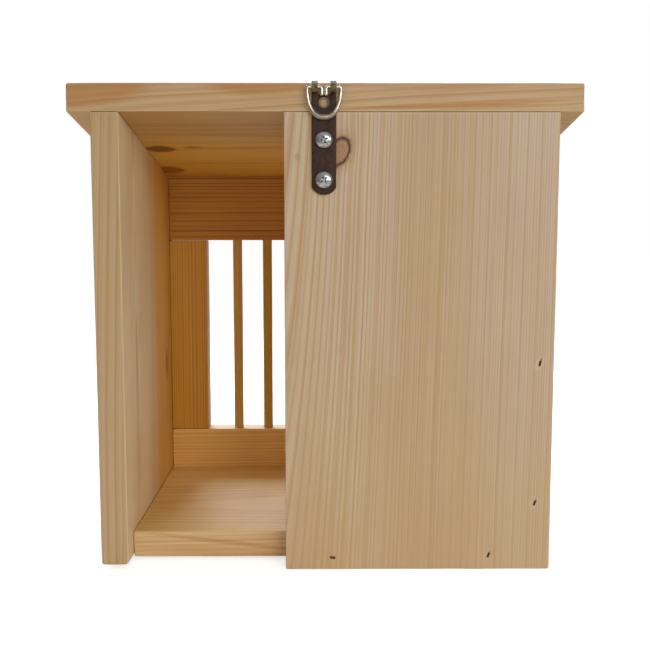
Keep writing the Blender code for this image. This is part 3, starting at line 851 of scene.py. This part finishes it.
def ring_path():
    """Half of the ring's wire as (across, up, thickness), from the loop's bottom to the end of its stub."""
    points = []
    for step in range(41):
        angle = -math.pi / 2 * (1 - 0.90 * step / 40)
        x = RING_HALF_WIDTH * math.cos(angle) ** (2 / RING_SQUARENESS)
        y = -RING_DROP * (-math.sin(angle)) ** (2 / RING_SQUARENESS)
        points.append((x, y, 1.0 + RING_SWELL * math.sin(angle) ** 4))
    shoulder = RING_HALF_WIDTH - RING_SHOULDER
    for step in range(1, 13):
        angle = math.pi / 2 * step / 12
        x = shoulder + RING_SHOULDER * math.cos(angle)
        y = -RING_SHOULDER + RING_SHOULDER * math.sin(angle)
        points.append((x, y, 1.0))
    bend = STUB_HALF_SPACING + STUB_BEND
    for step in range(13):
        angle = math.pi / 2 * step / 12
        x = bend - STUB_BEND * math.sin(angle)
        y = -STUB_BEND * (1 - math.cos(angle))
        points.append((x, y, 1.0 + STUB_SWELL * math.sin(angle)))
    for drop, thick in ((0.0008, 1.12), (0.0003, 1.07), (0.0001, 0.92), (0.0, 0.7)):
        points.append((STUB_HALF_SPACING, -STUB_DROP + drop, thick))
    return points


def make_ring():
    """The ring of wire, hanging from the hinge, its ends turned down side by side between the knuckles."""
    half = ring_path()
    whole = [(-x, y, thick) for x, y, thick in reversed(half[1:])] + half
    curve = bpy.data.curves.new("hanger_ring_wire", "CURVE")
    curve.dimensions = "3D"
    curve.bevel_depth = WIRE_RADIUS
    curve.bevel_resolution = 6
    curve.use_fill_caps = True
    spline = curve.splines.new("POLY")
    spline.points.add(len(whole) - 1)
    for spot, (x, y, thick) in zip(spline.points, whole):
        spot.co = (x, 0.0, y, 1.0)
        spot.radius = thick
    made = show("hanger_ring_wire", curve)
    made.matrix_world = Matrix.Translation(HINGE)
    return shade(mesh_of(made), 50.0)


def recess_arm(name, length, width, depth, place):
    """One arm of a cross recess, narrower and shorter at its bottom."""
    form = bmesh.new()
    bmesh.ops.create_cube(form, size=1.0)
    for vertex in form.verts:
        below = vertex.co.z < 0
        vertex.co.x *= length * (0.42 if below else 1.0)
        vertex.co.y *= width * (0.72 if below else 1.0)
        vertex.co.z = -depth if below else depth * 0.6
    mesh = mesh_from(name, form)
    mesh.transform(place)
    return show(name, mesh)


def make_screw(node):
    """A domed zinc screw with a cross recess."""
    z = SCREW_HEIGHTS[node]
    place = facing_back(HANGER_X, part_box(node)[1].y - SCREW_HEAD_HEIGHT, z)
    rim = 0.0007
    crown = SCREW_HEAD_HEIGHT - rim
    profile = [(0.0, SCREW_HEAD_HEIGHT)]
    for step in range(1, 19):
        angle = math.pi / 2 * step / 18
        profile.append((SCREW_HEAD_RADIUS * math.sin(angle), rim + crown * math.cos(angle)))
    profile += [
        (SCREW_HEAD_RADIUS, 0.0003),
        (SCREW_HEAD_RADIUS * 0.985, 0.00008),
        (SCREW_HEAD_RADIUS * 0.96, 0.0),
        (SCREW_RADIUS, 0.0),
        (SCREW_RADIUS, 0.0040 - SCREW_LENGTH),
        (0.0, -SCREW_LENGTH),
    ]
    screw = turned(node + "_turned", profile, place, steps=72)
    for arm in range(2):
        turn = Matrix.Rotation(SCREW_TURNS[node] + arm * math.pi / 2, 4, "Z")
        spot = place @ Matrix.Translation((0, 0, SCREW_HEAD_HEIGHT)) @ turn
        screw = combine(screw, recess_arm("recess", *RECESS_SIZE, spot), "DIFFERENCE")
    bevel = screw.modifiers.new("soft_edges", "BEVEL")
    bevel.width = 0.00012
    bevel.segments = 2
    bevel.limit_method = "ANGLE"
    bevel.angle_limit = math.radians(40.0)
    screw = mesh_of(screw)
    return shade(screw, 40.0)


def make_dowel(node, seed):
    """A dowel that is not quite straight or round, with softened ends."""
    low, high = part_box(node)
    middle = (low + high) / 2
    radius = (high.x - low.x) / 2
    length = high.z - low.z
    sides, rows = 40, 56
    form = bmesh.new()
    rings = []
    for row in range(rows + 1):
        share = row / rows
        z = low.z + length * share
        from_end = min(z - low.z, high.z - z)
        chamfer = max(0.0, 0.0006 - from_end)
        bow = math.sin(math.pi * share) * 0.00012
        ring = []
        for side in range(sides):
            angle = 2 * math.pi * side / sides
            place = Vector((math.cos(angle) * 1.3, math.sin(angle) * 1.3 + seed * 7.0, z * 45.0))
            swell = 1.0 - 0.012 * (0.5 + noise.noise(place))
            r = (radius - 0.00002) * swell - chamfer
            x = middle.x + r * math.cos(angle) + bow * math.cos(seed * 2.1)
            y = middle.y + r * math.sin(angle) + bow * math.sin(seed * 2.1)
            ring.append(form.verts.new((x, y, z)))
        rings.append(ring)
    for below, above in zip(rings, rings[1:]):
        for side in range(sides):
            following = (side + 1) % sides
            form.faces.new((below[side], below[following], above[following], above[side]))
    form.faces.new(list(reversed(rings[0])))
    form.faces.new(rings[-1])
    return shade(show(node + "_turned", mesh_from(node + "_turned", form)), 50.0)


# ---------------------------------------------------------------- the house

SLOPE = math.tan(PITCH)

NAIL_HALO = dict(tilt=0.3, soft=0.5, tone=WORN)
NAIL_STAIN = dict(amount=0.85, soft=0.4, tone=tone(140, 92, 46))
BROAD = dict(soft=0.6)
ROOF_EDGE = dict(across="v", within=(1, 85.0, 105.0), tone=tone(196, 138, 74))
STILE_LOOK = dict(
    grain="Z",
    spacing=2.2,
    late=1.0,
    late_tone=tone(158, 102, 48),
    wander=1.5,
    # Painted shade on the inner face, and painted light on both side faces.
    tints=(
        dict(face=(1, 1), colour=(0.94, 0.64, 0.07)),
        dict(face=(0, -1), colour=(1.2, 1.28, 1.36)),
        dict(face=(0, 1), colour=(1.2, 1.28, 1.36)),
    ),
)

# One row for each board. Patches and knots are placed across and along the grain, in millimetres.
BOARDS = {
    "back_panel": dict(
        slot="pale_softwood", seed=1, top_wear=0.2, top_slope=SLOPE,
        look=dict(
            grain="Z", pith=(107.0, -70.0), spacing=1.75, lean=(0.0, -0.035), late=1.0,
            late_tone=tone(200, 140, 74), wander=1.2, stripes=0.5, shade=(0.9, 0.955, 1.06),
            patches=(
                dict(at=(-134.0, 190.0), size=(42.0, 200.0), amount=0.14, tone=tone(222, 204, 186), **BROAD),
                dict(at=(-70.0, 150.0), size=(30.0, 600.0), amount=0.42, tone=tone(204, 158, 106), **BROAD),
                dict(at=(-141.2, 140.4), size=(2.6, 4.6), amount=0.5, **NAIL_HALO),
                dict(at=(-139.8, 45.8), size=(2.4, 3.8), amount=0.5, **NAIL_HALO),
                dict(at=(-109.4, 9.8), size=(2.0, 3.2), amount=0.4, **NAIL_HALO),
                dict(at=(-141.8, 141.2), size=(0.9, 3.0), tilt=0.28, **NAIL_STAIN),
                dict(at=(-140.5, 46.6), size=(0.8, 2.3), tilt=0.32, **NAIL_STAIN),
                dict(at=(-110.1, 10.4), size=(0.8, 1.9), tilt=0.36, **NAIL_STAIN),
                dict(at=(-4.8, 8.3), size=(2.0, 1.2), **NAIL_STAIN),
                # Painted light: the panel's lower part made warmer, for light thrown up from the floor.
                dict(at=(-62.0, -20.0), size=(260.0, 110.0), amount=0.35, tone=tone(214, 172, 112), **BROAD),
                dict(at=(14.0, 60.0), size=(14.0, 150.0), amount=0.3, tone=tone(206, 160, 104), **BROAD),
            ),
            knots=(
                dict(
                    at=(-9.0, 278.2), size=(6.6, 8.2), lean=0.35, rim=1.0, rim_width=0.16, halo=0.6,
                    pull=0.35, amount=0.8, tone=tone(190, 138, 94), dark=tone(146, 96, 60),
                ),
                dict(at=(18.4, 274.8), size=(1.1, 1.6), rim=0.0, amount=0.0, halo=0.45),
            ),
        ),
    ),
    "side_board_right": dict(
        slot="pale_softwood", seed=2, top_wear=0.2, top_slope=SLOPE, foot_wear=1.6,
        look=dict(
            grain="Z", pith=(-30.0, 60.0), spacing=2.9, lean=(0.01, 0.01), late=1.0,
            late_tone=tone(200, 148, 92), wander=3.0,
            patches=(
                dict(at=(-50.0, 115.0), size=(4.0, 11.0), amount=0.6, tone=tone(140, 84, 44), across="v"),
            ),
            # Painted light and shade: a darker back edge, a lighter inner face, and that face warmer and
            # darker towards the front.
            tints=(
                dict(face=(1, 1), colour=(0.8, 0.76, 0.66)),
                dict(face=(0, -1), colour=(1.26, 1.42, 1.48)),
                dict(face=(0, -1), along=(1, 30.0, -20.0), colour=(1.03, 0.8, 0.36)),
            ),
        ),
    ),
    "side_board_left": dict(
        slot="pale_softwood", seed=3, top_wear=0.2, top_slope=SLOPE,
        look=dict(grain="Z", pith=(38.0, -12.0), spacing=2.6, lean=(0.015, 0.0), late=0.45, wander=3.0),
    ),
    "roof_board": dict(
        slot="warm_softwood", seed=4, foot_wear=0.2, slope=SLOPE,
        look=dict(
            grain="X", pith=(60.0, -34.0), spacing=3.4, lean=(0.05, 0.012), late=0.6, wander=5.0,
            slope=SLOPE, shade=(0.97, 0.93, 0.85),
            patches=(
                dict(at=(321.0, 158.0), size=(15.0, 46.0), tilt=0.05, amount=0.7, soft=0.25, **ROOF_EDGE),
                dict(at=(323.5, 42.0), size=(10.0, 38.0), amount=0.75, soft=0.3, **ROOF_EDGE),
                dict(at=(306.8, -70.0), size=(1.3, 62.0), tilt=0.02, amount=0.75, soft=0.4, **ROOF_EDGE),
                dict(at=(309.6, -118.0), size=(1.0, 40.0), tilt=0.03, amount=0.5, soft=0.4, **ROOF_EDGE),
                dict(at=(320.0, -60.0), size=(2.5, 60.0), tilt=-0.02, amount=0.25, soft=0.5, **ROOF_EDGE),
                dict(at=(26.0, 98.0), size=(2.8, 7.0), amount=0.7, tone=tone(150, 92, 46)),
                dict(
                    at=(24.0, 60.0), size=(1.5, 50.0), tilt=0.05, amount=0.55, soft=0.5,
                    tone=tone(160, 102, 52),
                ),
                dict(at=(60.0, 60.0), size=(3.5, 70.0), tilt=-0.04, amount=0.35, soft=0.5),
                dict(at=(-24.0, 60.0), size=(3.0, 70.0), tilt=0.03, amount=0.4, soft=0.5),
                dict(at=(90.0, 70.0), size=(2.5, 60.0), tilt=0.02, amount=0.3, soft=0.5),
            ),
            knots=(
                dict(
                    at=(21.0, 123.0), size=(9.0, 12.0), lens=True, rim=0.3, amount=0.9,
                    tone=tone(132, 84, 44), dark=tone(98, 56, 26),
                ),
                dict(
                    at=(-49.0, 128.0), size=(12.0, 13.0), lens=True, rim=0.15, amount=0.7,
                    tone=tone(150, 92, 50), dark=tone(116, 66, 32),
                ),
            ),
            # Painted light and shade on the underside, darker and warmer at the back and lighter towards the
            # front, and a darker back edge.
            tints=(
                dict(face=(2, -1), colour=(0.86, 0.74, 0.46)),
                dict(face=(2, -1), along=(1, 90.0, 0.0), colour=(1.5, 1.52, 0.74)),
                dict(face=(1, 1), colour=(0.9, 0.88, 0.83)),
            ),
        ),
    ),
    "floor_board": dict(
        slot="warm_softwood", seed=5,
        look=dict(
            grain="X", pith=(20.0, -70.0), spacing=2.6, lean=(0.0, 0.02), late=1.0,
            late_tone=tone(190, 132, 70), wander=2.5, shade=(1.0, 0.97, 0.86),
            patches=(
                dict(at=(12.0, 62.0), size=(1.5, 52.0), tilt=-0.12, across="v", amount=0.6, soft=0.6),
                dict(at=(5.0, 60.0), size=(4.0, 60.0), tilt=-0.05, across="v", amount=0.35, soft=0.5),
            ),
            # Painted light: the top lighter and warmer, lighter still towards the front, and the back edge a
            # little lighter.
            tints=(
                dict(face=(2, 1), colour=(1.2, 1.19, 0.84)),
                dict(face=(2, 1), along=(1, 60.0, -70.0), colour=(1.16, 1.26, 1.42)),
                dict(face=(1, 1), colour=(1.05, 1.02, 0.94)),
            ),
        ),
    ),
    "front_top_rail": dict(
        slot="warm_softwood", seed=6, top_wear=0.2, top_slope=SLOPE,
        look=dict(
            grain="X", pith=(-30.0, -90.0), spacing=3.6, late=1.0, late_tone=tone(112, 62, 22), bands=1.0,
            band_size=7.0, wander=1.5,
            # Painted shade: the inner face darkened to a deep orange.
            tints=(dict(face=(1, 1), colour=(0.84, 0.48, 0.005)),),
        ),
    ),
    "front_bottom_rail": dict(
        slot="warm_softwood", seed=7,
        look=dict(
            grain="X", pith=(-20.0, 80.0), spacing=3.0, lean=(0.0, 0.01), late=1.0, wander=2.0,
            # Painted light: a warmer inner face and a lighter top.
            tints=(dict(face=(1, 1), colour=(1.26, 1.08, 0.5)), dict(face=(2, 1), colour=(1.2, 1.26, 1.3))),
        ),
    ),
    "front_stile_right": dict(slot="warm_softwood", seed=8, look=dict(pith=(-70.0, 10.0), **STILE_LOOK)),
    "front_stile_left": dict(slot="warm_softwood", seed=9, look=dict(pith=(60.0, 16.0), **STILE_LOOK)),
}

for node, board in BOARDS.items():
    seed = board["seed"]
    shape = {key: board[key] for key in ("top_wear", "foot_wear", "slope", "top_slope") if key in board}
    piece = worn_board(node, seed, **shape)
    material = wood(node + "_wood", node, seed=seed * 1.37, **board["look"])
    dress(piece, material, stands_for=(node,))

# Painted shade and warm light on the back of each dowel.
DOWEL_PAINTED_LIGHT = ((1.12, 0.98, 0.42), (0.98, 0.84, 0.14), (1.05, 0.95, 0.5))
for number in range(1, 8):
    node = f"window_dowel_{number}"
    piece = make_dowel(node, number)
    material = wood(
        node + "_wood",
        node,
        grain="Z",
        pith=(14.0 + number, 9.0 - number),
        spacing=1.7,
        late=0.7,
        wander=1.0,
        seed=number * 2.3,
        shade=(0.92, 0.88, 0.8),
        tints=(dict(face=(1, 1), soft=(-0.3, 0.6), colour=DOWEL_PAINTED_LIGHT[(number - 1) % 3]),),
    )
    dress(piece, material, stands_for=(node,))

dress(make_strap(), antique_strap(), stands_for=("hanger_strap",))
dress(make_ring(), nickel_wire(), body="ring", stands_for=("hanger_ring",))
for node in SCREW_HEIGHTS:
    middle = Vector((HANGER_X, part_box(node)[1].y - SCREW_HEAD_HEIGHT, SCREW_HEIGHTS[node]))
    dress(make_screw(node), zinc_screw(node + "_zinc", middle), stands_for=(node,))

BRAD_STEEL = brad_steel()
for node in NODES:
    if "brad" in node:
        repaint(node, BRAD_STEEL)


# ---------------------------------------------------------------- studio


def add_floor():
    form = bmesh.new()
    bmesh.ops.create_grid(form, x_segments=8, y_segments=8, size=6.0)
    floor = show("studio_floor", mesh_from("studio_floor", form))
    floor.location.z = -FLOOR_DROP
    floor.data.materials.append(studio_floor_material())


def add_softbox(name, place, size, power):
    light = bpy.data.lights.new(name, "AREA")
    light.shape = "RECTANGLE"
    light.size, light.size_y = size
    light.energy = power
    made = show(name, light)
    made.location = place
    aim = Vector(HOUSE_MIDDLE) - Vector(place)
    made.rotation_euler = aim.to_track_quat("-Z", "Y").to_euler()


def add_world():
    """White for the camera, and a softer sky for light, brighter above and in front of the house."""
    world = bpy.data.worlds.new("studio")
    bpy.context.scene.world = world
    world.use_nodes = True
    tree = world.node_tree
    tree.nodes.clear()

    def node(kind, *inputs, **settings):
        made = tree.nodes.new("ShaderNode" + kind)
        for name, value in settings.items():
            setattr(made, name, value)
        for socket, value in zip(made.inputs, inputs):
            if isinstance(value, bpy.types.NodeSocket):
                tree.links.new(value, socket)
            elif value is not None:
                socket.default_value = value
        return made

    split = node("SeparateXYZ", node("TexCoord").outputs["Generated"]).outputs
    smooth = dict(interpolation_type="SMOOTHSTEP")
    above = node("MapRange", split["Z"], 0.1, 0.95, 0.0, SKY_ABOVE, **smooth).outputs[0]
    front = node("MapRange", split["Y"], 0.2, -0.8, 0.0, SKY_FRONT, **smooth).outputs[0]
    total = node("Math", above, front, operation="ADD").outputs[0]
    total = node("Math", total, SKY_BASE, operation="ADD").outputs[0]
    sky = node("Background", (1.0, 1.0, 1.0, 1.0), total).outputs[0]
    seen = node("Background", (1.0, 1.0, 1.0, 1.0), 1.0).outputs[0]
    which = node("LightPath").outputs["Is Camera Ray"]
    node("OutputWorld", node("MixShader", which, sky, seen).outputs[0])


def add_camera():
    camera = bpy.data.cameras.new("camera")
    camera.sensor_width = SENSOR
    camera.lens = CAMERA_LENS
    camera.clip_start = 0.01
    made = show("camera", camera)
    back = -CAMERA_FORWARD
    up = back.cross(CAMERA_RIGHT)
    turn = Matrix((CAMERA_RIGHT, up, back)).transposed().to_4x4()
    made.matrix_world = Matrix.Translation(CAMERA_PLACE) @ turn
    bpy.context.scene.camera = made


HOUSE_MIDDLE = (0.0, 0.0, 0.16)
SKY_BASE = 0.24
SKY_ABOVE = 0.18
SKY_FRONT = 0.24
add_floor()
add_world()
add_softbox("key_softbox", (-0.85, 2.2, 0.9), (0.9, 0.9), 13.6)
add_softbox("side_softbox", (-1.6, 1.6, 0.6), (0.7, 0.9), 5.6)
add_softbox("camera_softbox", (0.05, 2.4, 0.3), (0.5, 0.5), 4.6)
add_softbox("front_softbox", (0.5, -1.9, 1.1), (1.4, 1.0), 35.0)
add_camera()
bpy.context.scene.view_settings.view_transform = "Standard"
